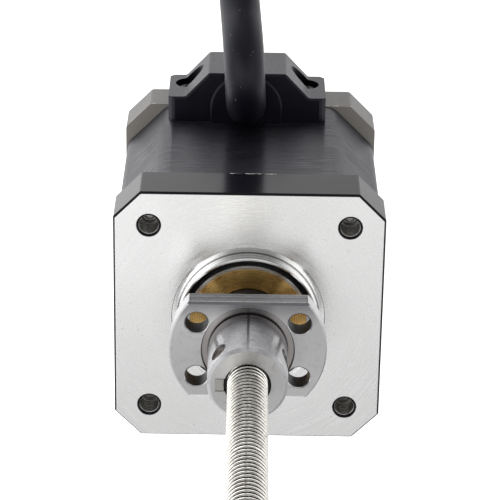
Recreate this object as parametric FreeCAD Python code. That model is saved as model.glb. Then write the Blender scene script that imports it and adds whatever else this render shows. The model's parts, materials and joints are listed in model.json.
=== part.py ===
import FreeCAD, Part
import math
import os

# A 42 mm hybrid stepper motor whose shaft is a 6 mm ball screw, with its flanged ball nut and its cable.
# Millimetres. +Z runs along the screw, away from the motor. The origin is the centre of the mounting face.
# The cable gland is on the +Y side. The motor stands on its rear cap.

V = FreeCAD.Vector
Z_AXIS = V(0, 0, 1)

# Motor body
FLANGE_HALF = 21.0            # half the width of the square end caps
CAP_CHAMFER = 4.2             # corner chamfer of the end caps
EDGE_BEVEL = 0.35             # painted bevel round the machined mounting face
STACK_HALF = 20.8             # half the width of the laminated stack
STACK_CHAMFER = 6.9           # corner chamfer of the stack
STACK_ROUND = 3.0             # rounding beside each stack chamfer
FRONT_CAP_Z = -8.2            # back of the front cap
STACK_Z = -38.8               # back of the stack
BASE_Z = -46.5                # back of the rear cap, where the motor stands
BOLT_HALF = 15.5              # 31 mm square bolt pattern
BOLT_R = 1.5                  # M3
BOLT_DEPTH = 4.0              # thread left free above the case screws
TIP_R = 1.2                   # case screw's turned-down tip
CASE_HOLE_R = 1.7             # clear hole for each case screw

# Pilot boss and front bearing, 8 x 19 x 6
PILOT_R = 11.0
PILOT_Z = 2.0
RELIEF_R = 12.0               # turned relief at the foot of the boss
RELIEF_DEPTH = 0.35
BOSS_BORE_R = 10.65
BEARING_TOP_Z = 1.55
BEARING_WIDTH = 6.0
BEARING_R = 9.6
BEARING_BORE_R = 4.0
BEARING_BALL_R = 1.45
BEARING_BALL_PCR = 6.9
FRONT_BALLS = 9
SLEEVE_TOP_Z = -0.6

# Rear bearing, 5 x 16 x 5
REAR_BEARING_Z = -44.7
REAR_BEARING_WIDTH = 5.0
REAR_BEARING_R = 8.0
REAR_BORE_R = 2.5
REAR_BALL_R = 1.15
REAR_BALL_PCR = 5.3
REAR_BALLS = 8

# Magnetic parts
POLES = 8
STATOR_BORE_R = 11.3
SLOT_R = 17.6
SHOE_R = 12.4
POLE_WIDTH = 4.4
ROTOR_R = 11.0
ROTOR_TEETH = 50
ROTOR_FRONT_Z = -9.6
ROTOR_REAR_Z = -37.4
MAGNET_THICK = 2.4
SHAFT_R = 4.0
INSULATOR_R = 17.3
END_PLATE = 0.6               # insulator plate on each end of the stack
WINDING_OUT = 1.8             # how far the end turns stand beyond the insulators

# Ball screw, 6 mm with 1 mm lead
SCREW_R = 3.0
LEAD = 1.0
THREAD_START_Z = 2.8
THREAD_END_Z = 91.0
SCREW_TOP_Z = 100.0
JOURNAL_R = 2.0               # journal at the free end
BALL_PCR = 3.1
GROOVE_R = 0.42
BALL_R = 0.36
TURNS_PER_CUT = 22

# Ball nut
NUT_Z = 7.9                   # back of the nut's flange
NUT_LENGTH = 15.0
NUT_R = 6.0
NUT_BORE_R = 3.5
NUT_THREAD_R = 3.15           # bore where the balls run
NUT_FLANGE_R = 12.0
NUT_FLANGE_THICK = 3.5
NUT_FLAT_HALF = 8.0
NUT_HOLE_PCR = 9.0
NUT_HOLE_R = 1.7
NUT_HOLE_ANGLE = 30.0
RIM_BEVEL = 0.25              # round the flange
FLAT_BEVEL = 0.4              # along the flange's flats
END_BEVEL = 0.5               # at the body's free end
UNDERCUT_R = 7.1              # turned groove between the flange and the body
UNDERCUT_DEPTH = 0.5
SCRIBE_HALF = 0.13            # half the width of the line scribed along the body
NUT_SEAM_ANGLE = -40.0        # the body's seam lies between the return slots
CIRCUITS = 3
FIRST_CIRCUIT_Z = 20.0
CIRCUIT_STEP = 2.0 + 1.0 / 3.0
RETURN_ANGLE = 138.0
RETURN_HALF_LONG = 1.65       # half the size of a return slot along the nut
RETURN_HALF_WIDE = 1.45       # and across it
RETURN_TILT = 14.0
WIPER_Z = 21.3
WIPER_R = 4.4                 # seat of the wiper, inside the nut's end
LUG_REACH = 4.8               # from the axis to the end of the wiper's lug
LUG_HALF = 1.0

# Cable gland block
GLAND_X = -0.65
GLAND_HALF = 12.95
GLAND_FRONT_Z = -31.4
GLAND_REAR_Z = -42.4
GLAND_LEDGE_Y = 24.95
GLAND_TOP_Y = 29.1
GLAND_LEDGE_IN = 10.2         # where each slope starts, from the gland's middle
GLAND_TOP_HALF = 6.3
COLLAR_X = -0.78
COLLAR_Y = 23.2
COLLAR_R = 5.95
COLLAR_PROUD = 0.6
GLAND_EDGE = 0.3              # chamfer of the gland's front edges
POCKET_X = 9.6
POCKET_Z = -38.4
POCKET_R = 2.35

# Cable
CABLE_D = 6.5
CABLE_R = CABLE_D / 2
CABLE_BORE_Z = GLAND_FRONT_Z - 1.4
FLOOR_LINE_Z = BASE_Z + CABLE_R + 0.75    # the cable lies on the band of its tie
COIL_R = 33.0                 # middle of the turns
COIL_X = 15.3
COIL_Y = 107.0
COIL_START = 196.0            # angle on the coil where the straight run joins it
COIL_SWEEP = 630.0            # how far the cable goes round, clockwise from above
COIL_GAP_ANGLE = 40.0         # the upper turn is open here, for the stripped leads
COIL_CLEAR = 0.05
LEAD_IN = 22.2                # straight run beside the lower turn
TIE_ANGLE = 45.0


def coil_point(angle, z=FLOOR_LINE_Z):
    a = math.radians(angle)
    return V(COIL_X + COIL_R * math.cos(a), COIL_Y + COIL_R * math.sin(a), z)


def coil_heading(angle):
    """The way the cable runs there, clockwise from above."""
    a = math.radians(angle)
    return V(math.sin(a), -math.cos(a), 0)


CABLE_END = coil_point(COIL_START) - coil_heading(COIL_START) * LEAD_IN
CABLE_ROUTE = [
    V(-0.78, 24.35, CABLE_BORE_Z),
    V(-0.78, 24.35, -28.97),
    V(-0.84, 26.28, -25.63),
    V(-0.98, 29.62, -23.70),
    V(-1.18, 33.48, -23.70),
    V(-1.44, 36.82, -25.63),
    V(-1.95, 40.12, -31.35),
    V(-2.95, 48.40, -38.00),
    V(-6.50, 63.30, FLOOR_LINE_Z),
    CABLE_END,
]
LEAD_R = 0.65
LEAD_LENGTH = 12.0
TIP_LENGTH = 4.0

made = {}


def export(name, shape):
    """Writes one sub-part and prints what it is."""
    if not shape.isValid():
        print("INVALID", name)
    made[name] = shape
    shape.exportStep("parts/%s.step" % name)
    box = shape.BoundBox
    size = (box.XLength, box.YLength, box.ZLength)
    print("%-28s solids %3d  volume %10.2f  size %.2f %.2f %.2f" % ((name, len(shape.Solids), shape.Volume) + size))


def cylinder(radius, z0, z1, x=0.0, y=0.0):
    return Part.makeCylinder(radius, z1 - z0, V(x, y, z0))


def tube(outer, inner, z0, z1, x=0.0, y=0.0):
    return cylinder(outer, z0, z1, x, y).cut(cylinder(inner, z0 - 1, z1 + 1, x, y))


def box(x0, x1, y0, y1, z0, z1):
    return Part.makeBox(x1 - x0, y1 - y0, z1 - z0, V(x0, y0, z0))


def prism(points, z0, z1):
    """Extrudes a closed outline of (x, y) points."""
    corners = [V(x, y, z0) for x, y in points]
    corners.append(corners[0])
    return Part.Face(Part.makePolygon(corners)).extrude(V(0, 0, z1 - z0))


def turned(profile):
    """Revolves a closed outline of (radius, z) points about the axis."""
    corners = [V(r, 0, z) for r, z in profile]
    corners.append(corners[0])
    return Part.Face(Part.makePolygon(corners)).revolve(V(0, 0, 0), Z_AXIS, 360)


def square_with_chamfers(half, cut, z0, z1):
    near = half - cut
    outline = [(near, -half), (half, -near), (half, near), (near, half)]
    outline += [(-near, half), (-half, near), (-half, -near), (-near, -half)]
    return prism(outline, z0, z1)


def upright_edges(shape):
    """Straight edges parallel to the axis."""
    found = []
    for edge in shape.Edges:
        if len(edge.Vertexes) == 2:
            a, b = (v.Point for v in edge.Vertexes)
            if math.hypot(a.x - b.x, a.y - b.y) < 1e-6 and abs(a.z - b.z) > 1e-6:
                found.append(edge)
    return found


def edges_at(shape, z, least_radius=0.0):
    """Edges that lie flat at one height, outside a radius."""
    found = []
    for edge in shape.Edges:
        b = edge.BoundBox
        middle = b.Center
        if abs(b.ZMin - z) < 1e-5 and abs(b.ZMax - z) < 1e-5 and math.hypot(middle.x, middle.y) > least_radius:
            found.append(edge)
    return found


def turned_to(shape, angle):
    copy = shape.copy()
    copy.rotate(V(0, 0, 0), Z_AXIS, angle)
    return copy


def around(shape, count, first=0.0):
    return [turned_to(shape, first + k * 360.0 / count) for k in range(count)]


def bolt_places():
    return [(x, y) for x in (-BOLT_HALF, BOLT_HALF) for y in (-BOLT_HALF, BOLT_HALF)]


def front_end_cap():
    cap = square_with_chamfers(FLANGE_HALF, CAP_CHAMFER, FRONT_CAP_Z, 0)
    cap = cap.makeFillet(0.5, upright_edges(cap))
    cap = cap.makeChamfer(EDGE_BEVEL, edges_at(cap, 0))
    cap = cap.cut(tube(RELIEF_R, PILOT_R, -RELIEF_DEPTH, 1))
    boss = turned([(0, -1), (PILOT_R, -1), (PILOT_R, PILOT_Z - 0.12), (PILOT_R - 0.12, PILOT_Z), (0, PILOT_Z)])
    cap = cap.fuse(boss)
    seat_z = BEARING_TOP_Z - BEARING_WIDTH
    cap = cap.cut(cylinder(BOSS_BORE_R, seat_z, PILOT_Z + 1))
    cap = cap.cut(cylinder(6.0, FRONT_CAP_Z - 1, seat_z + 1))
    cavity = cylinder(SLOT_R - 0.2, FRONT_CAP_Z - 1, seat_z - 1.0)
    cap = cap.cut(cavity)
    for x, y in bolt_places():
        cap = cap.cut(cylinder(BOLT_R, -BOLT_DEPTH, 1, x, y))
        cap = cap.cut(cylinder(TIP_R + 0.05, FRONT_CAP_Z - 1, 1, x, y))
        cap = cap.cut(Part.makeCone(BOLT_R, BOLT_R + 0.45, 0.45, V(x, y, -0.45)))
    return cap.removeSplitter()


def gland_screw_places():
    return [GLAND_X + side * POCKET_X for side in (-1, 1)]


def gland_screw_holes():
    """Tapped holes in the motor's side for the two gland screws."""
    return [Part.makeCylinder(1.3, 5, V(x, 18, POCKET_Z), V(0, 1, 0)) for x in gland_screw_places()]


def lamination(z0, z1):
    """The stack's cross-section: a square ring with inward poles and toothed shoes."""
    ring = square_with_chamfers(STACK_HALF, STACK_CHAMFER, z0, z1)
    ring = ring.makeFillet(STACK_ROUND, upright_edges(ring))
    slots = tube(SLOT_R, SHOE_R, z0 - 1, z1 + 1)
    pole = box(0, SLOT_R + 2, -POLE_WIDTH / 2, POLE_WIDTH / 2, z0 - 2, z1 + 2)
    slots = slots.cut(Part.makeCompound(around(pole, POLES)))
    opening = box(STATOR_BORE_R - 1, SHOE_R + 0.5, -0.9, 0.9, z0 - 1, z1 + 1)
    notch = box(STATOR_BORE_R - 1, STATOR_BORE_R + 0.4, -0.35, 0.35, z0 - 1, z1 + 1)
    tooth_pitch = 360.0 / ROTOR_TEETH
    notches = []
    for k in range(POLES):
        for step in (-2, -1, 0, 1, 2):
            notches.append(turned_to(notch, k * 360.0 / POLES + step * tooth_pitch))
    holes = [cylinder(CASE_HOLE_R, z0 - 1, z1 + 1, x, y) for x, y in bolt_places()]
    ring = ring.cut(cylinder(STATOR_BORE_R, z0 - 1, z1 + 1))
    ring = ring.cut(slots)
    ring = ring.cut(Part.makeCompound(around(opening, POLES, 180.0 / POLES)))
    ring = ring.cut(Part.makeCompound(notches))
    return ring.cut(Part.makeCompound(holes + gland_screw_holes()))


def insulator(z0, z1):
    """Plastic plate on one end of the stack, with the outline of the poles."""
    plate = tube(INSULATOR_R, SHOE_R - 0.4, z0, z1)
    slots = tube(INSULATOR_R - 0.6, SHOE_R, z0 - 1, z1 + 1)
    pole = box(0, SLOT_R + 2, -POLE_WIDTH / 2 - 0.3, POLE_WIDTH / 2 + 0.3, z0 - 2, z1 + 2)
    slots = slots.cut(Part.makeCompound(around(pole, POLES)))
    opening = box(0, SHOE_R + 0.5, -0.9, 0.9, z0 - 1, z1 + 1)
    return plate.cut(slots).cut(Part.makeCompound(around(opening, POLES, 180.0 / POLES)))


def windings():
    """One coil round each pole."""
    front = FRONT_CAP_Z + END_PLATE
    rear = STACK_Z - END_PLATE
    inner = POLE_WIDTH / 2 + 0.4
    outer = inner + 1.8
    coil = box(12.9, 16.0, -outer, outer, rear - WINDING_OUT, front + WINDING_OUT)
    coil = coil.makeFillet(1.2, [e for e in coil.Edges if e.BoundBox.XLength > 1])
    coil = coil.cut(box(12, 18, -inner, inner, rear - 0.1, front + 0.1))
    return Part.makeCompound(around(coil, POLES))


def case_screws():
    """Four screws from the rear cap, through the stack, into the front cap."""
    solids = []
    for x, y in bolt_places():
        shank = cylinder(BOLT_R - 0.05, -43.3, FRONT_CAP_Z - 0.05, x, y)
        shank = shank.fuse(cylinder(TIP_R, -20, -BOLT_DEPTH - 0.9, x, y))
        tip = Part.makeCone(TIP_R, 0.6, 0.6, V(x, y, -BOLT_DEPTH - 0.9))
        head = cylinder(2.75, -45.4, -43.3, x, y)
        head = head.makeFillet(0.6, edges_at(head, -45.4))
        bars = box(x - 1.5, x + 1.5, y - 0.3, y + 0.3, -46, -44.2)
        bars = bars.fuse(box(x - 0.3, x + 0.3, y - 1.5, y + 1.5, -46, -44.2))
        solids.append(shank.fuse(tip).fuse(head).cut(bars))
    return Part.makeCompound(solids)


def rear_end_cap():
    cap = square_with_chamfers(FLANGE_HALF, CAP_CHAMFER, BASE_Z, STACK_Z)
    cap = cap.makeFillet(0.8, upright_edges(cap))
    cap = cap.makeChamfer(0.5, edges_at(cap, BASE_Z))
    cap = cap.cut(tube(SLOT_R - 0.2, 9.3, -42.8, STACK_Z + 1))
    cap = cap.cut(cylinder(REAR_BEARING_R, REAR_BEARING_Z - 0.4, STACK_Z + 1))
    cap = cap.cut(cylinder(9.4, STACK_Z - 0.6, STACK_Z + 1))
    cap = cap.cut(box(GLAND_X - 4.5, GLAND_X + 4.5, 14, FLANGE_HALF + 1, -42.2, STACK_Z - 0.7))
    cap = cap.cut(Part.makeCompound(gland_screw_holes()))
    for x, y in bolt_places():
        cap = cap.cut(cylinder(CASE_HOLE_R, BASE_Z - 1, STACK_Z + 1, x, y))
        cap = cap.cut(cylinder(2.95, BASE_Z - 1, -43.3, x, y))
    return cap


def terminal_board():
    board = tube(16.8, 9.8, -42.7, -41.9)
    holes = [cylinder(0.45, -43, -41, 13.3 * math.cos(a), 13.3 * math.sin(a)) for a in
             [math.radians(90 + step) for step in (-18, -6, 6, 18)]]
    return board.cut(Part.makeCompound(holes))


def bearing_ring(z0, width, outer, inner, ball_r, ball_pcr, shoulder=None):
    """One ring of a ball bearing, with its raceway."""
    ring = tube(outer, inner, z0, z0 + width)
    if shoulder:
        ring = ring.cut(tube(shoulder, inner - 1, z0 + width - 1.2, z0 + width + 1))
    race = Part.makeTorus(ball_pcr, ball_r + 0.06, V(0, 0, z0 + width / 2))
    return ring.cut(race)


def bearing_balls(z, count, ball_r, ball_pcr):
    ball = Part.makeSphere(ball_r, V(ball_pcr, 0, z))
    return Part.makeCompound(around(ball, count))


def bearing_cage(z, count, ball_r, ball_pcr, half_width):
    """Crown-shaped ring that spaces the balls out, with its closed side to the rear."""
    ring = tube(ball_pcr + half_width, ball_pcr - half_width, z - ball_r - 0.5, z + 0.2)
    pocket = Part.makeSphere(ball_r + 0.08, V(ball_pcr, 0, z))
    return ring.cut(Part.makeCompound(around(pocket, count)))


def rotor_cup(z0, z1, half_tooth):
    """One toothed end of the rotor."""
    pitch = 2 * math.pi / ROTOR_TEETH
    outline = []
    for k in range(ROTOR_TEETH):
        middle = (k + (0.5 if half_tooth else 0.0)) * pitch
        for radius, step in ((ROTOR_R - 0.5, -0.30), (ROTOR_R, -0.22), (ROTOR_R, 0.22), (ROTOR_R - 0.5, 0.30)):
            outline.append((radius * math.cos(middle + step * pitch), radius * math.sin(middle + step * pitch)))
    return prism(outline, z0, z1).cut(cylinder(SHAFT_R + 0.02, z0 - 1, z1 + 1))


def helical_channel(z0, turns):
    """Round channel along the ball track, right-hand, on the circle of the ball centres."""
    helix = Part.makeHelix(LEAD, turns * LEAD, BALL_PCR)
    helix.translate(V(0, 0, z0))
    section = Part.Wire(Part.makeCircle(GROOVE_R, V(BALL_PCR, 0, z0), V(0, 1, 0)))
    return Part.Wire(helix.Edges).makePipeShell([section], True, True)


def cut_ball_track(shape, z0, z1):
    """Cuts the track in whole turns, a few at a time. It starts at angle 0."""
    done = 0
    total = math.ceil((z1 - z0) / LEAD)
    while done < total:
        turns = min(TURNS_PER_CUT, total - done)
        shape = shape.cut(helical_channel(z0 + done * LEAD, turns))
        done += turns
    return shape


def ball_screw():
    front = BEARING_TOP_Z - BEARING_WIDTH
    outline = [
        (0, -44.6), (REAR_BORE_R - 0.32, -44.6), (REAR_BORE_R - 0.02, -44.3),
        (REAR_BORE_R - 0.02, -39.7), (3.5, -39.7), (3.5, ROTOR_REAR_Z - 0.4),
        (SHAFT_R, ROTOR_REAR_Z - 0.2), (SHAFT_R, ROTOR_FRONT_Z + 0.4),
        (5.0, ROTOR_FRONT_Z + 0.4), (5.0, front - 0.05),
        (BEARING_BORE_R - 0.02, front - 0.05), (BEARING_BORE_R - 0.02, 1.6), (3.0, 2.6),
        (SCREW_R, THREAD_END_Z), (JOURNAL_R, THREAD_END_Z), (JOURNAL_R, SCREW_TOP_Z - 0.4),
        (JOURNAL_R - 0.4, SCREW_TOP_Z), (0, SCREW_TOP_Z),
    ]
    return cut_ball_track(turned(outline), THREAD_START_Z, THREAD_END_Z + 1.5)


def circuit_places():
    """Height and angle of each return piece."""
    return [(FIRST_CIRCUIT_Z - k * CIRCUIT_STEP, RETURN_ANGLE - k * 120.0) for k in range(CIRCUITS)]


def return_slot(inner, outer, grow):
    """A rounded block through the nut's wall, along +X, for one return piece."""
    half_long = RETURN_HALF_LONG + grow
    half_wide = RETURN_HALF_WIDE + grow
    block = box(inner, outer, -half_wide, half_wide, -half_long, half_long)
    return block.makeFillet(half_wide - 0.02, [e for e in block.Edges if e.BoundBox.XLength > 0.5])


def placed_returns(inner, outer, grow):
    solids = []
    for z, angle in circuit_places():
        block = return_slot(inner, outer, grow)
        block.rotate(V(0, 0, 0), V(1, 0, 0), RETURN_TILT)
        block.translate(V(0, 0, z))
        solids.append(turned_to(block, angle))
    return solids


def ball_nut():
    end = NUT_Z + NUT_LENGTH
    face = NUT_Z + NUT_FLANGE_THICK
    flange = turned([
        (0, NUT_Z), (NUT_FLANGE_R - RIM_BEVEL, NUT_Z), (NUT_FLANGE_R, NUT_Z + RIM_BEVEL),
        (NUT_FLANGE_R, face - RIM_BEVEL), (NUT_FLANGE_R - RIM_BEVEL, face), (0, face)])
    flange = flange.common(box(-13, 13, -NUT_FLAT_HALF, NUT_FLAT_HALF, NUT_Z - 1, face + 1))
    flats = [e for e in edges_at(flange, face, 5.0) if abs(e.BoundBox.YLength) < 1e-5]
    flats += [e for e in edges_at(flange, NUT_Z, 5.0) if abs(e.BoundBox.YLength) < 1e-5]
    flange = flange.makeChamfer(FLAT_BEVEL, flats)
    body = turned([(0, NUT_Z), (NUT_R, NUT_Z), (NUT_R, end - END_BEVEL), (NUT_R - END_BEVEL, end), (0, end)])
    nut = flange.fuse(turned_to(body, NUT_SEAM_ANGLE))
    nut = nut.cut(tube(UNDERCUT_R, NUT_R - 0.25, face - UNDERCUT_DEPTH, face))
    for k in range(2):
        for side in (-1, 1):
            angle = math.radians(180 * k + side * NUT_HOLE_ANGLE)
            x, y = NUT_HOLE_PCR * math.cos(angle), NUT_HOLE_PCR * math.sin(angle)
            nut = nut.cut(cylinder(NUT_HOLE_R, NUT_Z - 1, face + 1, x, y))
            nut = nut.cut(Part.makeCone(NUT_HOLE_R, NUT_HOLE_R + 0.2, 0.2, V(x, y, face - 0.2)))
    nut = nut.cut(cylinder(NUT_THREAD_R, NUT_Z - 1, end + 1))
    nut = nut.cut(cylinder(4.1, NUT_Z - 1, NUT_Z + 3.3))
    nut = nut.cut(cylinder(WIPER_R, WIPER_Z, end - 0.5))
    nut = nut.cut(cylinder(NUT_BORE_R, end - 1, end + 1))
    nut = nut.cut(box(-LUG_REACH, 0, -LUG_HALF - 0.05, LUG_HALF + 0.05, WIPER_Z, end + 1))
    nut = nut.cut(box(-SCRIBE_HALF, SCRIBE_HALF, NUT_R - 0.15, NUT_R + 1, face - UNDERCUT_DEPTH, end - 0.9))
    nut = nut.cut(Part.makeCompound(placed_returns(2.5, NUT_R + 2, 0.0)))
    low = FIRST_CIRCUIT_Z - (CIRCUITS - 1) * CIRCUIT_STEP - 0.9
    return cut_ball_track(nut, THREAD_START_Z + math.floor(low - THREAD_START_Z), FIRST_CIRCUIT_Z + 0.9)


def nut_balls():
    """One turn of balls in each circuit, less the part under the return piece."""
    solids = []
    step = 2 * math.degrees(math.asin(BALL_R / BALL_PCR)) + 0.6
    for z, angle in circuit_places():
        turn = angle + 42.0
        while turn <= angle + 318.0:
            # the track is at angle 0 at THREAD_START_Z plus a whole number of leads
            phase = (turn - angle) / 360.0 - 0.5
            height = z + phase * LEAD
            off = (height - THREAD_START_Z - turn / 360.0 * LEAD) / LEAD
            height -= (off - round(off)) * LEAD
            x = BALL_PCR * math.cos(math.radians(turn))
            y = BALL_PCR * math.sin(math.radians(turn))
            solids.append(Part.makeSphere(BALL_R, V(x, y, height)))
            turn += step
    return Part.makeCompound(solids)


def nut_returns():
    """Ball return pieces, a little below the nut's surface."""
    limit = tube(NUT_R - 0.35, NUT_THREAD_R + 0.55, NUT_Z, NUT_Z + NUT_LENGTH)
    limit = limit.cut(cylinder(WIPER_R + 0.05, WIPER_Z - 0.05, NUT_Z + NUT_LENGTH))
    return Part.makeCompound([block.common(limit) for block in placed_returns(3.0, NUT_R + 1, -0.06)])


def nut_wiper():
    """Plastic wiper in the nut's end, with the lug that locates it."""
    end = NUT_Z + NUT_LENGTH
    ring = tube(WIPER_R - 0.05, SCREW_R + 0.12, WIPER_Z + 0.05, end - 0.9)
    lug = box(-LUG_REACH, -NUT_BORE_R, -LUG_HALF, LUG_HALF, WIPER_Z + 0.05, end - 0.03)
    return ring.fuse(lug)


def outer_edges_at(shape, z):
    """Edges at one height, less the one against the stack."""
    return [e for e in edges_at(shape, z) if e.BoundBox.YMax > STACK_HALF + 0.01]


def cable_gland():
    half, ledge, top = GLAND_HALF, GLAND_LEDGE_Y, GLAND_TOP_Y
    outline = [(-half, STACK_HALF), (half, STACK_HALF), (half, ledge), (GLAND_LEDGE_IN, ledge)]
    outline += [(GLAND_TOP_HALF, top), (-GLAND_TOP_HALF, top), (-GLAND_LEDGE_IN, ledge), (-half, ledge)]
    block = prism([(GLAND_X + x, y) for x, y in outline], GLAND_REAR_Z, GLAND_FRONT_Z)
    corners = [e for e in block.Edges if e.BoundBox.YLength > 3 and e.BoundBox.XLength < 0.01]
    block = block.makeChamfer(0.75, corners)
    upper = [e for e in upright_edges(block) if e.BoundBox.YMin > STACK_HALF + 1]
    rims = [e for e in upper if abs(e.BoundBox.XMin - GLAND_X) < GLAND_LEDGE_IN + 1]
    block = block.makeFillet(0.7, rims)
    block = block.makeChamfer(GLAND_EDGE, outer_edges_at(block, GLAND_FRONT_Z))
    block = block.cut(box(-20, 20, STACK_HALF - 1, FLANGE_HALF, GLAND_REAR_Z - 1, STACK_Z))
    collar = cylinder(COLLAR_R, GLAND_FRONT_Z - 1, GLAND_FRONT_Z + COLLAR_PROUD, COLLAR_X, COLLAR_Y)
    legs = box(COLLAR_X - COLLAR_R, COLLAR_X + COLLAR_R, STACK_HALF, COLLAR_Y,
               GLAND_FRONT_Z - 1, GLAND_FRONT_Z + COLLAR_PROUD)
    above = box(-20, 20, STACK_HALF, 40, GLAND_FRONT_Z - 2, GLAND_FRONT_Z + 2)
    hood = collar.fuse(legs).common(above).removeSplitter()
    hood = hood.makeChamfer(GLAND_EDGE, outer_edges_at(hood, GLAND_FRONT_Z + COLLAR_PROUD))
    block = block.fuse(hood)
    for x in gland_screw_places():
        pocket = Part.makeCylinder(POCKET_R, 10, V(x, 22.6, POCKET_Z), V(0, 1, 0))
        hole = Part.makeCylinder(1.35, 5, V(x, 20, POCKET_Z), V(0, 1, 0))
        block = block.cut(pocket).cut(hole)
    route = CABLE_ROUTE[0]
    block = block.cut(cylinder(CABLE_R + 0.04, route.z, GLAND_FRONT_Z + 2, route.x, route.y))
    plug = box(GLAND_X - 4.3, GLAND_X + 4.3, 17.4, FLANGE_HALF + 1, -42.1, STACK_Z - 0.8)
    return block.fuse(plug).removeSplitter()


def gland_screws():
    solids = []
    for x in gland_screw_places():
        head = Part.makeCylinder(2.0, 1.6, V(x, 22.65, POCKET_Z), V(0, 1, 0))
        rim = [e for e in head.Edges if abs(e.BoundBox.YMin - 24.25) < 1e-4 and e.BoundBox.XLength > 1]
        head = head.makeFillet(0.5, rim)
        head = head.cut(Part.makeCylinder(0.85, 1.2, V(x, 23.4, POCKET_Z), V(0, 1, 0)))
        shank = Part.makeCylinder(1.25, 4.2, V(x, 18.5, POCKET_Z), V(0, 1, 0))
        solids.append(head.fuse(shank))
    return Part.makeCompound(solids)


def tube_path(points):
    """Straight runs joined by tangent arcs, as one wire, with its length and its arc radii."""
    edges = []
    radii = []
    start = points[0]
    for k in range(1, len(points) - 1):
        before = points[k] - points[k - 1]
        after = points[k + 1] - points[k]
        turn = before.getAngle(after)
        reach = 0.45 * min(before.Length, after.Length)
        radius = reach / math.tan(turn / 2)
        radii.append(round(radius, 2))
        way_in = V(before).normalize()
        way_out = V(after).normalize()
        a = points[k] - way_in * reach
        b = points[k] + way_out * reach
        inward = (way_out - way_in).normalize()
        middle = points[k] + inward * (radius / math.cos(turn / 2) - radius)
        edges.append(Part.LineSegment(start, a).toShape())
        edges.append(Part.Arc(a, middle, b).toShape())
        start = b
    edges.append(Part.LineSegment(start, points[-1]).toShape())
    wire = Part.Wire(edges)
    return wire, wire.Length, radii


def cable_jacket():
    wire, length, radii = tube_path(CABLE_ROUTE)
    first = (CABLE_ROUTE[1] - CABLE_ROUTE[0]).normalize()
    section = Part.Wire(Part.makeCircle(CABLE_R, CABLE_ROUTE[0], first))
    solid = wire.makePipeShell([section], True, True)
    expected = math.pi * CABLE_R ** 2 * length
    print("cable tube length %.2f  radii %s  volume ratio %.4f" % (length, radii, solid.Volume / expected))
    return solid


def coil_section(levels, r0=COIL_R):
    """Outline of the wound turns, one above the other, in the plane of the coil's axis."""
    half = CABLE_R + COIL_CLEAR
    low = FLOOR_LINE_Z
    high = FLOOR_LINE_Z + (levels - 1) * CABLE_D
    x0 = COIL_X + r0
    arc_low = Part.Arc(V(x0 - half, COIL_Y, low), V(x0, COIL_Y, low - half), V(x0 + half, COIL_Y, low))
    arc_high = Part.Arc(V(x0 + half, COIL_Y, high), V(x0, COIL_Y, high + half), V(x0 - half, COIL_Y, high))
    edges = [arc_low.toShape(), arc_high.toShape()]
    if levels > 1:
        edges.insert(1, Part.LineSegment(V(x0 + half, COIL_Y, low), V(x0 + half, COIL_Y, high)).toShape())
        edges.append(Part.LineSegment(V(x0 - half, COIL_Y, high), V(x0 - half, COIL_Y, low)).toShape())
    return Part.Face(Part.Wire(edges))


def cable_coil():
    """The wound length: a full lower turn, an upper turn with a gap, and the straight run into them."""
    centre = V(COIL_X, COIL_Y, 0)
    lower = coil_section(1).revolve(centre, Z_AXIS, 360)
    upper = coil_section(2)
    upper.rotate(centre, Z_AXIS, COIL_START - COIL_SWEEP)
    upper = upper.revolve(centre, Z_AXIS, 360 - COIL_GAP_ANGLE)
    lead_in = Part.makeCylinder(CABLE_R, LEAD_IN, CABLE_END, coil_heading(COIL_START))
    return lower.fuse(upper).fuse(lead_in)


def coil_end():
    """Centre of the upper turn's end, and the direction that the cable points there."""
    angle = COIL_START - COIL_SWEEP
    return coil_point(angle, FLOOR_LINE_Z + CABLE_D), coil_heading(angle)


def cable_tie():
    """Band round the two turns, with its head outside. Drawn on the coil's far side, then turned."""
    low = FLOOR_LINE_Z - CABLE_R
    high = FLOOR_LINE_Z + CABLE_D + CABLE_R
    r0 = COIL_R - CABLE_R
    r1 = COIL_R + CABLE_R
    y0, y1 = COIL_Y + r0 - 0.8, COIL_Y + r1 + 0.8
    band = box(COIL_X - 1.2, COIL_X + 1.2, y0, y1, low - 0.7, high + 0.7)
    band = band.makeFillet(1.5, [e for e in band.Edges if e.BoundBox.XLength > 2])
    hollow = box(COIL_X - 2, COIL_X + 2, y0 + 0.6, y1 - 0.6, low - 0.15, high + 0.15)
    band = band.cut(hollow)
    tie = band.fuse(box(COIL_X - 2.1, COIL_X + 2.1, y1 - 0.5, y1 + 2.5, high - 5.0, high - 1.0))
    tie.rotate(V(COIL_X, COIL_Y, 0), Z_AXIS, TIE_ANGLE - 90)
    return tie


def cable_end_sleeve():
    start, way = coil_end()
    sleeve = Part.makeCylinder(CABLE_R - 0.1, 7.0, start, way)
    return sleeve.makeFillet(0.8, [e for e in sleeve.Edges if (e.BoundBox.Center - start).dot(way) > 6])


def lead_places():
    start, way = coil_end()
    across = V(-way.y, way.x, 0)
    root = start + way * 7.0
    spots = [(-1.1, -0.9), (1.1, -0.9), (-1.1, 1.0), (1.1, 1.0)]
    return way, [root + across * a + V(0, 0, b) for a, b in spots]


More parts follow.
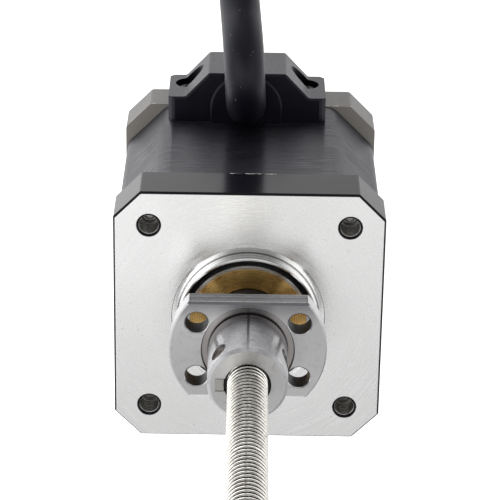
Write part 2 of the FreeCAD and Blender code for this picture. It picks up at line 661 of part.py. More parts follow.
def main():
    os.makedirs("parts", exist_ok=True)
    front_z = BEARING_TOP_Z - BEARING_WIDTH
    front_mid = BEARING_TOP_Z - BEARING_WIDTH / 2
    rear_mid = REAR_BEARING_Z + REAR_BEARING_WIDTH / 2
    magnet_z = (ROTOR_FRONT_Z + ROTOR_REAR_Z) / 2

    export("front_end_cap", front_end_cap())
    export("stator_stack", lamination(STACK_Z, FRONT_CAP_Z))
    export("rear_end_cap", rear_end_cap())
    export("front_insulator", insulator(FRONT_CAP_Z, FRONT_CAP_Z + END_PLATE))
    export("rear_insulator", insulator(STACK_Z - END_PLATE, STACK_Z))
    export("windings", windings())
    export("terminal_board", terminal_board())
    export("case_screws", case_screws())

    export("front_bearing_outer_ring", bearing_ring(
        front_z, BEARING_WIDTH, BEARING_R, 8.2, BEARING_BALL_R, BEARING_BALL_PCR, shoulder=9.08))
    export("front_bearing_inner_ring", bearing_ring(
        front_z, BEARING_WIDTH, 5.6, BEARING_BORE_R, BEARING_BALL_R, BEARING_BALL_PCR))
    export("front_bearing_balls", bearing_balls(front_mid, FRONT_BALLS, BEARING_BALL_R, BEARING_BALL_PCR))
    export("front_bearing_cage", bearing_cage(
        front_mid, FRONT_BALLS, BEARING_BALL_R, BEARING_BALL_PCR, 0.8))
    export("front_bearing_shield", tube(9.06, 5.75, BEARING_TOP_Z - 0.6, BEARING_TOP_Z - 0.12))
    export("front_bearing_sleeve", tube(BOSS_BORE_R, BEARING_R, front_z, SLEEVE_TOP_Z))
    export("rear_bearing_outer_ring", bearing_ring(
        REAR_BEARING_Z, REAR_BEARING_WIDTH, REAR_BEARING_R, 6.35, REAR_BALL_R, REAR_BALL_PCR))
    export("rear_bearing_inner_ring", bearing_ring(
        REAR_BEARING_Z, REAR_BEARING_WIDTH, 4.25, REAR_BORE_R, REAR_BALL_R, REAR_BALL_PCR))
    export("rear_bearing_balls", bearing_balls(rear_mid, REAR_BALLS, REAR_BALL_R, REAR_BALL_PCR))
    export("rear_bearing_cage", bearing_cage(rear_mid, REAR_BALLS, REAR_BALL_R, REAR_BALL_PCR, 0.6))
    export("wave_washer", tube(7.7, 6.2, REAR_BEARING_Z - 0.35, REAR_BEARING_Z - 0.05))

    export("rotor_front_cup", rotor_cup(magnet_z + MAGNET_THICK / 2, ROTOR_FRONT_Z, False))
    export("rotor_rear_cup", rotor_cup(ROTOR_REAR_Z, magnet_z - MAGNET_THICK / 2, True))
    export("rotor_magnet", tube(9.6, SHAFT_R + 0.02, magnet_z - MAGNET_THICK / 2, magnet_z + MAGNET_THICK / 2))
    export("ball_screw", ball_screw())

    export("ball_nut", ball_nut())
    export("nut_balls", nut_balls())
    export("nut_return_caps", nut_returns())
    export("nut_wiper", nut_wiper())

    export("cable_gland", cable_gland())
    export("gland_screws", gland_screws())
    export("cable_jacket", cable_jacket())
    export("cable_coil", cable_coil())
    export("cable_tie", cable_tie())
    export("cable_end_sleeve", cable_end_sleeve())
    way, places = lead_places()
    for name, place in zip(("black", "green", "red", "blue"), places):
        export("lead_" + name, Part.makeCylinder(LEAD_R, LEAD_LENGTH, place, way))
    tips = [Part.makeCylinder(0.4, TIP_LENGTH, place + way * LEAD_LENGTH, way) for place in places]
    export("lead_tips", Part.makeCompound(tips))
    print("cable length %.1f" % (tube_path(CABLE_ROUTE)[1] + LEAD_IN + math.radians(COIL_SWEEP) * COIL_R))


main()
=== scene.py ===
import json
import math

import bpy
from mathutils import Matrix, Vector


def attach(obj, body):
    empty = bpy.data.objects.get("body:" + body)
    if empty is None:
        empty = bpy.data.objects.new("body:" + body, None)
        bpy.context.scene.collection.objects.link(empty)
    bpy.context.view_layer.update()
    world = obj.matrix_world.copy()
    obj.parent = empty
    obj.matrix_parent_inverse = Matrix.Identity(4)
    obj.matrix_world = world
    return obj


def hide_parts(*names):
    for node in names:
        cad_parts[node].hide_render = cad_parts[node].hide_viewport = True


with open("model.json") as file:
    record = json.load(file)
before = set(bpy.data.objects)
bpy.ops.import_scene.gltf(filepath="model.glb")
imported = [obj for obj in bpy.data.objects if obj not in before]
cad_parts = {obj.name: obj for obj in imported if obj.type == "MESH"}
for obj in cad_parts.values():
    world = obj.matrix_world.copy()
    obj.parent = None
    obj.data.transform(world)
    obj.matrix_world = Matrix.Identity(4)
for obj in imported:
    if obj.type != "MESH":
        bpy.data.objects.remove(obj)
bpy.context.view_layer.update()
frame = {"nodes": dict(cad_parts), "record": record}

# A stepper motor with a ball screw for its shaft, in the CAD's frame: +Z runs along the screw, the
# origin is the centre of the mounting face, and the gland is on the +Y side.
# The sizes below are in millimetres and the angles in degrees. MM turns a size into Blender's metres.

MM = 0.001

# Camera
TILT = 24.0                      # from the screw's axis towards the gland's side
TURN = -0.19
ROLL = 0.93
DISTANCE = 354.6
OFFSET_X = 0.295
OFFSET_Y = 10.6
LENS_TO_SENSOR = 4.54
SENSOR = 36.0
NEAREST = 10.0
FARTHEST = 20000.0

# Cable: the same route points as the CAD tube, then the coil
CABLE_RADIUS = 3.25
CABLE_FLOOR = -42.5
CABLE_ROUTE = [
    (-0.78, 24.35, -32.80),
    (-0.78, 24.35, -28.97),
    (-0.84, 26.28, -25.63),
    (-0.98, 29.62, -23.70),
    (-1.18, 33.48, -23.70),
    (-1.44, 36.82, -25.63),
    (-1.95, 40.12, -31.35),
    (-2.95, 48.40, -38.00),
    (-6.50, 63.30, CABLE_FLOOR),
]
COIL_X = 15.3
COIL_Y = 107.0
COIL_RADIUS = 33.0
COIL_START = 196.0               # angle where the straight run joins the lower turn
COIL_SWEEP = 630.0               # how far the cable goes round, clockwise from above
COIL_STEP = 22.5                 # angle between the spline's points
COIL_RISE = (283.0, 326.0)       # the part of the sweep over which the cable climbs onto itself
LEAD_IN = 22.2                   # straight run beside the lower turn

# Sizes of the CAD's parts that the materials follow
BOLT_HALF = 15.5                 # half the spacing of the tapped holes
BOLT_R = 1.5
THREAD_PITCH = 0.5
FRONT_CAP_Z = -8.2               # back of the front cap
STACK_Z = -38.8                  # back of the stack
PILOT_R = 11.0
RELIEF_R = 12.0                  # turned relief at the foot of the boss
SCREW_R = 3.0
SCREW_END_Z = 91.02              # the screw is a plain journal above this height
NUT_R = 6.0
NUT_FACE_Z = 11.4                # free side of the nut's flange
NUT_END_Z = 22.9
NUT_FLANGE_R = 12.0
NUT_FLAT_HALF = 8.0
NUT_HOLE_X = 7.794
NUT_HOLE_Y = 4.5
NUT_HOLE_R = 1.7
RIM_BEVEL = 0.25                 # round the flange
FLAT_BEVEL = 0.4                 # along the flange's flats
END_BEVEL = 0.5                  # at the nut's free end
UNDERCUT_R = 7.1                 # turned groove between the flange and the body
SCRIBE_HALF = 0.13               # half the width of the line scribed along the body
WIPER_R = 4.4                    # seat of the wiper, in the nut's end
WIPER_RING_R = 3.55              # only the wiper's lug reaches farther out
LUG_HALF = 1.0
ON_SURFACE = 0.05                # a point this close to a surface lies on it
WORN_REACH = 0.1                 # half the height of the strip along an edge where its finish is worn

# Noise textures mostly stay between these values
NOISE_LOW = 0.3
NOISE_HIGH = 0.7

BLUISH = (0.88, 0.89, 1.0)       # sheen of the black surfaces

STEELS = {
    # name: colour, roughness, whether its grain runs round the axis, the grain's scale
    "zinc_screw": ((0.95, 0.95, 0.95), 0.18, False, 6.0),
    "bright_steel": ((0.92, 0.91, 0.90), 0.22, True, 16.0),
    "dark_steel": ((0.16, 0.145, 0.13), 0.35, True, 16.0),
    "chrome_steel": ((0.80, 0.80, 0.82), 0.12, False, 2.0),
    "rotor_steel": ((0.40, 0.40, 0.41), 0.35, True, 16.0),
    "magnet": ((0.45, 0.45, 0.47), 0.22, False, 3.0),
    "dark_screw": ((0.06, 0.06, 0.065), 0.35, True, 16.0),
    "tinned_copper": ((0.75, 0.73, 0.68), 0.25, False, 4.0),
}
PLASTICS = {
    # name: colour, roughness, depth of the moulded texture, the texture's scale
    "insulator": ((0.62, 0.58, 0.50), 0.45, 0.12, 7.0),
    "cage": ((0.60, 0.55, 0.40), 0.45, 0.12, 7.0),
    "black_sleeve": ((0.0015, 0.0015, 0.002), 0.85, 0.12, 7.0),
    "tie_plastic": ((0.015, 0.015, 0.015), 0.30, 0.05, 7.0),
    "shrink_sleeve": ((0.012, 0.012, 0.012), 0.40, 0.2, 1.5),
    "lead_black": ((0.010, 0.010, 0.010), 0.30, 0.05, 7.0),
    "lead_green": ((0.02, 0.20, 0.06), 0.30, 0.05, 7.0),
    "lead_red": ((0.45, 0.02, 0.015), 0.30, 0.05, 7.0),
    "lead_blue": ((0.015, 0.06, 0.36), 0.30, 0.05, 7.0),
}

# Floor and studio light
FLOOR_Z = -46.5
FLOOR_REACH = 1500.0             # half the floor's width
FLOOR_FADE = 60.0                # the glow changes between this far left and this far right
FLOOR_GLOW = (1.80, 0.72)        # at the left and at the right
SOFT_BOXES = [
    # direction, half angle of the bright middle, half angle of the soft edge, strength
    ((-0.09, -0.15, 0.98), 6.0, 28.0, 0.90),
    ((-0.50, -0.10, 0.86), 4.0, 32.0, 1.12),
    ((0.50, -0.15, 0.86), 4.0, 30.0, 0.98),
    ((-0.96, -0.05, 0.25), 10.0, 60.0, 0.95),
    ((0.96, -0.05, 0.25), 10.0, 58.0, 0.70),
    ((0.0, 0.97, 0.25), 10.0, 50.0, 0.45),
    ((0.0, -0.97, 0.25), 10.0, 50.0, 0.45),
]
ROOM_LIGHT = 0.20


def camera_axes(tilt, turn, roll):
    """Right, up and back vectors of a camera that looks along -back."""
    back = Vector((math.sin(turn) * math.cos(tilt), math.sin(tilt), math.cos(turn) * math.cos(tilt)))
    right = Vector((0, 1, 0)).cross(back).normalized()
    up = back.cross(right)
    rolled_right = math.cos(roll) * right + math.sin(roll) * up
    rolled_up = -math.sin(roll) * right + math.cos(roll) * up
    return rolled_right, rolled_up, back


def make_camera():
    right, up, back = camera_axes(math.radians(TILT), math.radians(TURN), math.radians(ROLL))
    data = bpy.data.cameras.new("camera")
    data.sensor_width = SENSOR
    data.lens = SENSOR * LENS_TO_SENSOR
    data.clip_start = NEAREST * MM
    data.clip_end = FARTHEST * MM
    camera = bpy.data.objects.new("camera", data)
    place = (back * DISTANCE + right * OFFSET_X + up * OFFSET_Y) * MM
    turned = Matrix((right, up, back)).transposed()
    camera.matrix_world = Matrix.Translation(place) @ turned.to_4x4()
    bpy.context.scene.collection.objects.link(camera)
    bpy.context.scene.camera = camera


def coil_place(sweep, radius):
    """A point on the coil after a sweep from its start, clockwise from above."""
    angle = math.radians(COIL_START - sweep)
    climbed = (sweep - COIL_RISE[0]) / (COIL_RISE[1] - COIL_RISE[0])
    level = CABLE_FLOOR + 2 * CABLE_RADIUS * min(max(climbed, 0), 1)
    return (COIL_X + radius * math.cos(angle), COIL_Y + radius * math.sin(angle), level)


def coil_points():
    """The straight run into the coil and its turns. The spline touches the circle halfway between points."""
    start = math.radians(COIL_START)
    heading = (math.sin(start), -math.cos(start))
    x, y, level = coil_place(0, COIL_RADIUS)
    half_step = math.radians(COIL_STEP / 2)
    points = []
    for back in (LEAD_IN, COIL_RADIUS * math.tan(half_step)):
        points.append((x - back * heading[0], y - back * heading[1], level))
    for k in range(round(COIL_SWEEP / COIL_STEP)):
        points.append(coil_place((k + 0.5) * COIL_STEP, COIL_RADIUS / math.cos(half_step)))
    points.append(coil_place(COIL_SWEEP, COIL_RADIUS))
    return points


def make_cable():
    curve = bpy.data.curves.new("cable", "CURVE")
    curve.dimensions = "3D"
    spline = curve.splines.new("NURBS")
    points = CABLE_ROUTE + coil_points()
    spline.points.add(len(points) - 1)
    for point, place in zip(spline.points, points):
        point.co = (place[0] * MM, place[1] * MM, place[2] * MM, 1.0)
    spline.order_u = 3
    spline.use_endpoint_u = True
    spline.resolution_u = 10
    curve.bevel_depth = CABLE_RADIUS * MM
    curve.bevel_resolution = 8
    curve.use_fill_caps = True
    cable = bpy.data.objects.new("cable", curve)
    bpy.context.scene.collection.objects.link(cable)
    return cable


class Paint:
    """A node material under construction. Places and sizes in it are the CAD's, in millimetres."""

    def __init__(self, name, **inputs):
        self.name = name
        self.material = bpy.data.materials.new(name)
        self.material.use_nodes = True
        self.tree = self.material.node_tree
        self.shader = self.tree.nodes["Principled BSDF"]
        self.place = None
        self.surface(**inputs)

    def feed(self, socket, value):
        """Link another node's output to a socket, or set a constant on it."""
        if isinstance(value, bpy.types.NodeSocket):
            self.tree.links.new(value, socket)
        elif socket.type == "RGBA":
            socket.default_value = (*value, 1.0)
        else:
            socket.default_value = value

    def fill(self, node, inputs):
        """Feed a node's inputs by name, with underscores in place of spaces."""
        for name, value in inputs.items():
            self.feed(node.inputs[name.replace("_", " ")], value)

    def surface(self, **inputs):
        self.fill(self.shader, inputs)

    def node(self, kind, **inputs):
        made = self.tree.nodes.new("ShaderNode" + kind)
        self.fill(made, inputs)
        return made

    def position(self):
        """The shaded point on the object, in millimetres."""
        if self.place is None:
            coordinates = self.node("TexCoord")
            scaled = self.node("VectorMath")
            scaled.operation = "SCALE"
            scaled.inputs["Scale"].default_value = 1 / MM
            self.feed(scaled.inputs[0], coordinates.outputs["Object"])
            self.place = scaled.outputs[0]
        return self.place

    def stretched(self, x, y, z):
        mapping = self.node("Mapping", Vector=self.position(), Scale=(x, y, z))
        return mapping.outputs[0]

    def axis(self, letter):
        parts = self.node("SeparateXYZ", Vector=self.position())
        return parts.outputs[letter]

    def math(self, operation, *values):
        made = self.tree.nodes.new("ShaderNodeMath")
        made.operation = operation
        for socket, value in zip(made.inputs, values):
            self.feed(socket, value)
        return made.outputs[0]

    def plus(self, a, b):
        return self.math("ADD", a, b)

    def minus(self, a, b):
        return self.math("SUBTRACT", a, b)

    def times(self, a, b):
        return self.math("MULTIPLY", a, b)

    def absolute(self, a):
        return self.math("ABSOLUTE", a)

    def above(self, value, limit):
        return self.math("GREATER_THAN", value, limit)

    def below(self, value, limit):
        return self.math("LESS_THAN", value, limit)

    def within(self, value, low, high):
        """1 between two limits, 0 outside them."""
        return self.times(self.above(value, low), self.below(value, high))

    def at(self, value, surface):
        return self.within(value, surface - ON_SURFACE, surface + ON_SURFACE)

    def either(self, largest, *others):
        """The largest of several shares."""
        for other in others:
            largest = self.math("MAXIMUM", largest, other)
        return largest

    def length(self, x, y):
        return self.math("SQRT", self.plus(self.times(x, x), self.times(y, y)))

    def radius(self):
        """Distance from the screw's axis."""
        return self.length(self.axis("X"), self.axis("Y"))

    def from_holes(self, half_x, half_y):
        """Distance from the nearest of four hole axes, which stand at the corners of a rectangle."""
        x = self.minus(self.absolute(self.axis("X")), half_x)
        y = self.minus(self.absolute(self.axis("Y")), half_y)
        return self.length(x, y)

    def noise(self, scale, detail=3.0, rough=0.5, at=None):
        texture = self.node("TexNoise", Vector=at or self.position(), Scale=scale, Detail=detail,
                            Roughness=rough)
        return texture.outputs["Fac"]

    def turned_grain(self, per_mm):
        """Fine tool marks round the axis, which wander a little on the way round."""
        wander = self.times(self.noise(0.15, 1.0), 0.25)
        together = self.node("CombineXYZ", X=self.radius(), Y=wander, Z=self.axis("Z"))
        return self.noise(per_mm, 3.0, 0.6, at=together.outputs[0])

    def worn_edge(self, height, x_from, x_to, least):
        """Broken bright dashes where the finish has rubbed off part of an edge at one height."""
        near = self.within(self.axis("Z"), height - WORN_REACH, height + WORN_REACH)
        part = self.within(self.axis("X"), x_from, x_to)
        dashes = self.above(self.noise(1.4, 3.0, 0.7), least)
        return self.times(self.times(near, part), dashes)

    def spread(self, value, low, high, to_low, to_high):
        """Move a value from one range to another, and keep it inside the new one."""
        made = self.node("MapRange", Value=value, From_Min=low, From_Max=high,
                         To_Min=to_low, To_Max=to_high)
        return made.outputs[0]

    def vary(self, noise, to_low, to_high):
        """Move a noise from its usual range to another one."""
        return self.spread(noise, NOISE_LOW, NOISE_HIGH, to_low, to_high)

    def mix(self, share, a, b):
        """Value a where share is 0, value b where it is 1."""
        return self.plus(a, self.times(self.minus(b, a), share))

    def blend(self, share, a, b):
        """Colour a where share is 0, colour b where it is 1."""
        made = self.tree.nodes.new("ShaderNodeMix")
        made.data_type = "RGBA"
        for name, value in (("Factor", share), ("A", a), ("B", b)):
            self.feed(self.open_socket(made.inputs, name), value)
        return self.open_socket(made.outputs, "Result")

    def open_socket(self, sockets, name):
        """A mix node has a socket of the same name for each kind of data. Only one of them is in use."""
        return next(socket for socket in sockets if socket.name == name and socket.enabled)

    def lay(self, base, *layers):
        """Colours laid over a base one after another. Each layer is a share and a colour."""
        for share, color in layers:
            base = self.blend(share, base, color)
        return base

    def bump(self, height, strength, depth):
        made = self.node("Bump", Height=height, Strength=strength, Distance=depth * MM)
        self.surface(Normal=made.outputs[0])

    def across_the_grain(self, amount):
        """Turned metal: the grain runs round the screw's axis, and highlights stretch across it."""
        tangent = self.node("Tangent")
        tangent.direction_type = "RADIAL"
        tangent.axis = "Z"
        self.surface(Tangent=tangent.outputs[0], Anisotropic=amount, Anisotropic_Rotation=0.25)


def boss_shade_and_tool_lines(p, radius, z):
    """Dark lines: painted shade at the boss's foot and at the relief's outer edge, and two tool lines round
    the boss's wall.
    """
    in_relief = p.below(z, -0.2)
    foot = p.times(p.within(radius, PILOT_R, PILOT_R + 0.16), in_relief)
    outer = p.times(p.within(radius, RELIEF_R - 0.12, RELIEF_R + 0.02), in_relief)
    wall = p.within(radius, PILOT_R - 0.05, PILOT_R + 0.02)
    lower_ring = p.times(wall, p.within(z, 0.55, 0.68))
    upper_ring = p.times(wall, p.within(z, 1.35, 1.43))
    lines = p.either(foot, outer, lower_ring, upper_ring)
    return p.times(lines, p.spread(p.axis("Y"), -6.0, -1.0, 0.15, 0.85))


def machined_cap():
    """Bare turned aluminium on the face and the boss, tapped holes, black lacquer elsewhere. The boss and
    the threads carry painted highlights and painted shade.
    """
    p = Paint("machined_cap", Specular_IOR_Level=0.14)
    z = p.axis("Z")
    radius = p.radius()
    boss = p.below(radius, RELIEF_R + 0.06)
    thread = p.below(p.from_holes(BOLT_HALF, BOLT_HALF), BOLT_R + 0.06)
    bare = p.either(p.above(z, -0.03), boss, thread)
    rings = p.turned_grain(9.0)
    turns = p.math("SINE", p.times(z, 2 * math.pi / THREAD_PITCH))
    # Painted light and shade on the tapped threads: dark roots and bright crests, in bands one pitch apart
    thread_light_and_shade = p.blend(p.spread(turns, -0.3, 0.6, 0.0, 1.0), (0.05, 0.05, 0.05), (0.85, 0.83, 0.80))
    metal = p.lay(
        p.blend(p.vary(rings, 0.0, 1.0), (0.82, 0.82, 0.815), (0.88, 0.88, 0.875)),
        (p.spread(p.noise(0.12), 0.35, 0.65, 0.0, 0.25), (0.78, 0.78, 0.775)),
        (p.times(p.above(p.noise(1.6, 1.0, 0.4), 0.74), 0.35), (0.45, 0.44, 0.42)),
        # The boss is painted lighter than the face: a painted highlight
        (boss, (0.96, 0.96, 0.95)),
        # Painted shade in the boss's corners, and tool lines on its wall
        (boss_shade_and_tool_lines(p, radius, z), (0.12, 0.12, 0.13)),
        (thread, thread_light_and_shade),
    )
    worn = p.worn_edge(FRONT_CAP_Z + 0.1, -3.2, 4.2, 0.48)
    lacquer = p.blend(p.noise(2.0), (0.003, 0.003, 0.0055), (0.008, 0.008, 0.012))
    lacquer = p.blend(worn, lacquer, (0.55, 0.54, 0.52))
    p.surface(Base_Color=p.blend(bare, lacquer, metal), Metallic=bare)
    metal_rough = p.minus(p.vary(rings, 0.22, 0.32), p.times(boss, 0.11))
    rough = p.mix(bare, p.vary(p.noise(6.0), 0.14, 0.24), metal_rough)
    p.surface(Roughness=p.plus(rough, p.times(thread, 0.10)))
    p.across_the_grain(p.times(bare, 0.5))
    thread_height = p.times(turns, p.times(thread, 16.0))
    p.bump(p.plus(p.times(rings, 0.12), thread_height), 0.10, 0.03)
    return p


def lacquered_stack():
    """Black lacquer over thin sheets, whose edges show as fine lines."""
    p = Paint("lacquered_stack", Specular_IOR_Level=0.55, Specular_Tint=BLUISH)
    sheets = p.noise(1.0, 2.0, 0.5, at=p.stretched(0.04, 0.04, 3.2))
    fine = p.noise(1.0, 3.0, 0.6, at=p.stretched(0.2, 0.2, 9.0))
    p.surface(Base_Color=p.blend(sheets, (0.002, 0.002, 0.0045), (0.010, 0.010, 0.014)))
    p.surface(Roughness=p.spread(fine, 0.35, 0.65, 0.24, 0.44))
    p.across_the_grain(0.9)
    p.bump(p.plus(sheets, fine), 0.30, 0.03)
    return p


def cast_cap():
    """Grey-brown casting, its edges rubbed pale."""
    p = Paint("cast_cap", Metallic=0.25)
    cloud = p.vary(p.noise(0.35, 4.0, 0.6), 0.0, 1.0)
    worn = p.worn_edge(STACK_Z - 0.2, -20.5, 20.5, 0.58)
    color = p.lay(
        p.blend(cloud, (0.042, 0.039, 0.035), (0.072, 0.067, 0.061)),
        (p.above(p.axis("Z"), STACK_Z - 0.06), (0.27, 0.252, 0.230)),
        (worn, (0.60, 0.58, 0.54)),
    )
    p.surface(Base_Color=color, Roughness=p.vary(p.noise(5.0), 0.32, 0.46))
    p.bump(p.noise(7.0), 0.12, 0.03)
    return p


def nut_faces(p, z):
    """The flange's free side and the nut's end face."""
    return p.either(p.above(z, NUT_END_Z - ON_SURFACE), p.at(z, NUT_FACE_Z))


def nut_shading(p, z, radius):
    """Tarnish and grinding marks on the nut, and painted shade on its faces, near the flange, along its
    edges and in the undercut, from the widest to the narrowest.
    """
    y = p.axis("Y")
    flat = p.absolute(y)
    # Painted shade on the body near the flange, where the flange is reflected
    shade_near_flange = p.times(p.spread(z, NUT_FACE_Z, 17.5, 0.75, 0.0), p.below(radius, NUT_R + 0.1))
    stain = p.spread(p.noise(0.9, 5.0, 0.65), 0.52, 0.75, 0.0, 0.45)
    grinding = p.spread(p.noise(1.0, 2.0, 0.6, at=p.stretched(0.03, 0.03, 2.6)), 0.35, 0.65, 0.0, 0.8)
    # Painted shade on the chamfers along the flats
    flat_bevel_shade = p.times(
        p.within(flat, NUT_FLAT_HALF - FLAT_BEVEL + 0.02, NUT_FLAT_HALF - ON_SURFACE),
        p.within(z, NUT_FACE_Z - FLAT_BEVEL + 0.02, NUT_FACE_Z - 0.02),
    )
    # Painted shade on the bevels round the flange and the nut's end, darker towards -Y
    shaded_rim = p.either(
        p.above(radius, NUT_FLANGE_R - RIM_BEVEL + 0.01),
        p.within(z, NUT_END_Z - END_BEVEL + 0.01, NUT_END_Z - 0.02),
    )
    # Painted shade in the undercut between the flange and the body
    undercut = p.times(
        p.within(radius, NUT_R - 0.4, UNDERCUT_R - ON_SURFACE),
        p.within(z, NUT_FACE_Z - 0.6, NUT_FACE_Z - 0.02),
    )
    return [
        # Painted shade: the flange's free side and the end face darker than the body
        (p.times(nut_faces(p, z), 0.8), (0.45, 0.445, 0.44)),
        (shade_near_flange, (0.20, 0.20, 0.22)),
        (stain, (0.30, 0.29, 0.28)),
        (p.times(grinding, p.above(y, NUT_FLAT_HALF - 0.1)), (0.16, 0.16, 0.17)),
        (p.times(flat_bevel_shade, 0.85), (0.10, 0.10, 0.11)),
        # Painted shade on the flange's free side, darker towards its top edge
        (p.times(p.spread(y, 4.6, 7.4, 0.0, 0.75), p.at(z, NUT_FACE_Z)), (0.17, 0.17, 0.18)),
        (p.times(shaded_rim, p.spread(y, -3.0, 5.0, 0.85, 0.25)), (0.14, 0.14, 0.14)),
        (p.times(undercut, 0.8), (0.24, 0.215, 0.20)),
    ]


def nut_dirt_and_shade(p, z, radius, hole):
    """Darker places: painted shade in the undercut's two corners and in the holes, grime in the scribed
    line, and darker inside the wiper's seat.
    """
    foot = p.times(p.within(radius, NUT_R - 0.1, NUT_R + 0.15), 0.55)
    wall = p.within(radius, UNDERCUT_R - 0.13, UNDERCUT_R + 0.04)
    # Painted shade in the undercut's two corners
    groove = p.times(p.either(foot, wall), p.within(z, NUT_FACE_Z - 0.6, NUT_FACE_Z + 0.02))
    line = p.below(p.absolute(p.axis("X")), SCRIBE_HALF + 0.06)
    scribe = p.times(line, p.within(radius, NUT_R - 0.2, NUT_R + ON_SURFACE))
    scribe = p.times(scribe, p.spread(z, 17.0, 22.0, 0.8, 0.25))
    inside = p.times(p.below(radius, WIPER_R - 0.1), p.below(z, NUT_END_Z - 0.2))
    return p.either(scribe, groove, inside, hole)


def nut_steel():
    """Ground steel, tarnished, with painted shade in its hollows and along its edges, and dirty in the
    scribed line.
    """
    p = Paint("nut_steel", Metallic=1.0)
    z = p.axis("Z")
    radius = p.radius()
    lines = p.turned_grain(14.0)
    hole = p.below(p.from_holes(NUT_HOLE_X, NUT_HOLE_Y), NUT_HOLE_R + 0.03)
    clean = p.blend(p.vary(lines, 0.0, 1.0), (0.78, 0.78, 0.80), (0.63, 0.63, 0.65))
    # Painted shade and grime, laid nearly black over the steel
    dirt_and_shade = (p.times(nut_dirt_and_shade(p, z, radius, hole), 0.88), (0.03, 0.03, 0.03))
    p.surface(Base_Color=p.lay(clean, *nut_shading(p, z, radius), dirt_and_shade))
    rougher = p.either(p.times(nut_faces(p, z), 0.12), p.times(hole, 0.25))
    p.surface(Roughness=p.plus(p.vary(lines, 0.21, 0.29), rougher))
    p.across_the_grain(0.5)
    p.bump(lines, 0.05, 0.010)
    return p


def wiper_plastic():
    """Dark ring in the bore. Only its lug, which shows in the end face, is pale, with dirty edges."""
    p = Paint("wiper_plastic", Roughness=0.50)
    lug = p.above(p.radius(), WIPER_RING_R)
    edge = p.above(p.absolute(p.axis("Y")), LUG_HALF - 0.07)
    pale = p.blend(p.noise(2.0), (0.37, 0.36, 0.34), (0.44, 0.425, 0.40))
    pale = p.blend(edge, pale, (0.05, 0.045, 0.04))
    p.surface(Base_Color=p.blend(lug, (0.010, 0.010, 0.010), pale))
    p.bump(p.noise(6.0), 0.10, 0.03)
    return p


def return_plastic():
    """Return pieces: worn brown moulding, black with grease in patches."""
    p = Paint("return_plastic", Roughness=0.50, Specular_IOR_Level=0.25)
    patches = p.spread(p.noise(1.6, 4.0, 0.65), 0.42, 0.60, 0.0, 1.0)
    p.surface(Base_Color=p.blend(patches, (0.006, 0.005, 0.005), (0.15, 0.12, 0.10)))
    p.bump(p.noise(6.0), 0.10, 0.03)
    return p


def screw_steel():
    """Bright rolled crests, dull at grazing angles and stained in patches, with painted shade and a film of
    grease in the ball track.
    """
    p = Paint("screw_steel", Specular_Tint=(0.42, 0.41, 0.38))
    ragged = p.times(p.minus(p.noise(2.6, 4.0, 0.7), 0.5), 0.22)
    crest = p.spread(p.plus(p.radius(), ragged), SCREW_R - 0.22, SCREW_R - 0.14, 0.0, 1.0)
    crest = p.either(crest, p.above(p.axis("Z"), SCREW_END_Z))
    stain = p.spread(p.noise(1.3, 5.0, 0.7), 0.50, 0.72, 0.0, 0.75)
    bright = p.blend(p.noise(6.0, 3.0, 0.6), (1.0, 0.98, 0.93), (0.86, 0.84, 0.78))
    bright = p.blend(stain, bright, (0.34, 0.315, 0.27))
    # Painted shade: the ball track between the crests is nearly black
    p.surface(Base_Color=p.blend(crest, (0.015, 0.014, 0.012), bright))
    p.surface(Metallic=p.spread(crest, 0.0, 1.0, 0.5, 1.0))
    p.surface(Specular_IOR_Level=p.spread(crest, 0.0, 1.0, 0.05, 0.5))
    fine = p.noise(9.0, 3.0, 0.6)
    film = p.spread(crest, 0.0, 1.0, 0.45, 0.0)
    p.surface(Roughness=p.plus(p.vary(fine, 0.13, 0.30), film))
    p.bump(fine, 0.12, 0.02)
    return p


def brass_shield():
    """Spun brass: the highlights fan out from the axis."""
    p = Paint("brass_shield", Metallic=1.0)
    cloud = p.vary(p.noise(0.5, 4.0, 0.6), 0.0, 1.0)
    p.surface(Base_Color=p.blend(cloud, (0.60, 0.37, 0.12), (0.84, 0.57, 0.22)))
    p.surface(Roughness=p.vary(p.turned_grain(12.0), 0.22, 0.32))
    p.across_the_grain(0.85)
    p.bump(p.noise(6.0), 0.08, 0.02)
    return p


def steel(name, color, rough, turned, grain):
    """Turned or ground steel with fine grain."""
    p = Paint(name, Metallic=1.0)
    lines = p.turned_grain(grain) if turned else p.noise(grain, 3.0, 0.6)
    shade = tuple(0.86 * part for part in color)
    p.surface(Base_Color=p.blend(p.vary(lines, 0.0, 1.0), color, shade))
    p.surface(Roughness=p.vary(lines, rough - 0.04, rough + 0.04))
    p.bump(lines, 0.05, 0.010)
    return p


def plastic(name, color, rough, texture, scale, **inputs):
    """Moulded plastic with a fine spark-eroded texture."""
    p = Paint(name, **inputs)
    lighter = tuple(1.4 * part + 0.001 for part in color)
    p.surface(Base_Color=p.blend(p.vary(p.noise(0.5), 0.0, 1.0), color, lighter))
    p.surface(Roughness=p.vary(p.noise(3.0), rough - 0.04, rough + 0.05))
    p.bump(p.noise(scale, 3.0, 0.6), texture, 0.03)
    return p


def black_plastic():
    """The gland's moulding, with a coarser texture and less sheen than the other plastics."""
    return plastic("black_plastic", (0.0015, 0.0015, 0.0045), 0.36, 0.25, 9.0,
                   Specular_IOR_Level=0.26, Specular_Tint=BLUISH)


def cable_sheath():
    """Smooth black sheath with a few pale specks of dust."""
    p = Paint("cable_sheath", Specular_IOR_Level=0.30, Specular_Tint=BLUISH)
    specks = p.above(p.noise(3.2, 1.0, 0.4), 0.79)
    black = p.blend(p.noise(0.7), (0.001, 0.001, 0.0035), (0.003, 0.003, 0.0065))
    p.surface(Base_Color=p.blend(specks, black, (0.30, 0.30, 0.28)))
    p.surface(Roughness=p.vary(p.noise(4.0, 4.0), 0.38, 0.50))
    p.bump(p.noise(5.0, 4.0, 0.6), 0.10, 0.04)
    return p


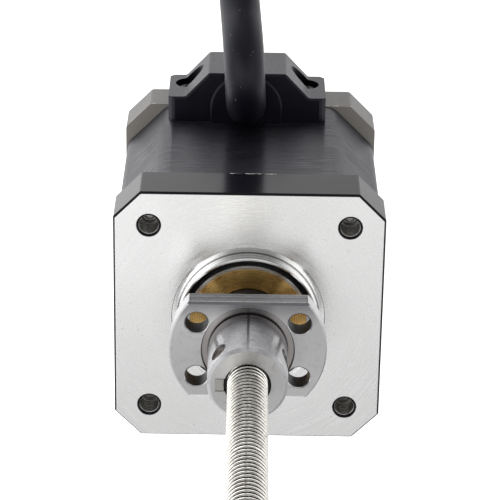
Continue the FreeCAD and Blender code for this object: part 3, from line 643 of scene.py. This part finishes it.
def circuit_board():
    """Green board, mottled by the weave in it."""
    p = Paint("circuit_board", Roughness=0.4)
    p.surface(Base_Color=p.blend(p.noise(3.0), (0.02, 0.12, 0.05), (0.03, 0.18, 0.07)))
    return p


def copper():
    """Enamelled wire, lying in fine parallel turns."""
    p = Paint("copper", Metallic=0.9)
    turns = p.noise(1.0, 2.0, 0.5, at=p.stretched(6.0, 6.0, 0.3))
    p.surface(Base_Color=p.blend(turns, (0.42, 0.15, 0.05), (0.62, 0.26, 0.10)))
    p.surface(Roughness=p.vary(turns, 0.25, 0.40))
    p.bump(turns, 0.3, 0.08)
    return p


def make_materials():
    """Every material by the name of its slot."""
    made = [machined_cap(), lacquered_stack(), cast_cap(), copper(), circuit_board(), brass_shield(),
            screw_steel(), nut_steel(), return_plastic(), wiper_plastic(), black_plastic(), cable_sheath()]
    made += [steel(name, *values) for name, values in STEELS.items()]
    made += [plastic(name, *values) for name, values in PLASTICS.items()]
    return {p.name: p.material for p in made}


def paint_nodes(materials):
    """Every CAD node gets the material that its slot names."""
    for part in frame["record"]["subparts"]:
        thing = frame["nodes"][part["node"]]
        for slot in thing.material_slots:
            slot.material = materials[part["material_slot"]]


def make_floor():
    """A pale plain floor that glows more on the left."""
    mesh = bpy.data.meshes.new("floor")
    corners = []
    for x, y in ((-1, -1), (1, -1), (1, 1), (-1, 1)):
        corners.append((x * FLOOR_REACH * MM, y * FLOOR_REACH * MM, FLOOR_Z * MM))
    mesh.from_pydata(corners, [], [(0, 1, 2, 3)])
    floor = bpy.data.objects.new("floor", mesh)
    bpy.context.scene.collection.objects.link(floor)
    p = Paint("floor", Base_Color=(0.55, 0.55, 0.55), Roughness=0.9, Emission_Color=(1.0, 1.0, 1.0))
    p.surface(Emission_Strength=p.spread(p.axis("X"), -FLOOR_FADE, FLOOR_FADE, *FLOOR_GLOW))
    mesh.materials.append(p.material)


def soft_box(tree, direction, aim, inner, outer, strength):
    """The light of one soft box: full up to its inner angle from the aim, none past its outer angle."""
    near = tree.nodes.new("ShaderNodeVectorMath")
    near.operation = "DOT_PRODUCT"
    tree.links.new(direction, near.inputs[0])
    near.inputs[1].default_value = Vector(aim).normalized()
    glow = tree.nodes.new("ShaderNodeMapRange")
    glow.interpolation_type = "SMOOTHSTEP"
    tree.links.new(near.outputs["Value"], glow.inputs["Value"])
    glow.inputs["From Min"].default_value = math.cos(math.radians(outer))
    glow.inputs["From Max"].default_value = math.cos(math.radians(inner))
    glow.inputs["To Max"].default_value = strength
    return glow.outputs[0]


def make_world():
    """A dim white room with large soft boxes in it."""
    world = bpy.data.worlds.new("world")
    world.use_nodes = True
    tree = world.node_tree
    direction = tree.nodes.new("ShaderNodeTexCoord").outputs["Generated"]
    room = tree.nodes.new("ShaderNodeValue")
    room.outputs[0].default_value = ROOM_LIGHT
    total = room.outputs[0]
    for box in SOFT_BOXES:
        add = tree.nodes.new("ShaderNodeMath")
        add.operation = "ADD"
        tree.links.new(soft_box(tree, direction, *box), add.inputs[0])
        tree.links.new(total, add.inputs[1])
        total = add.outputs[0]
    background = tree.nodes["Background"]
    background.inputs["Color"].default_value = (1.0, 1.0, 1.0, 1.0)
    tree.links.new(total, background.inputs["Strength"])
    bpy.context.scene.world = world
    bpy.context.scene.view_settings.view_transform = "Standard"


make_camera()
cable = make_cable()
make_floor()
make_world()
materials = make_materials()
paint_nodes(materials)
cable.data.materials.append(materials["cable_sheath"])
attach(cable, "motor")
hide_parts("cable_jacket", "cable_coil")
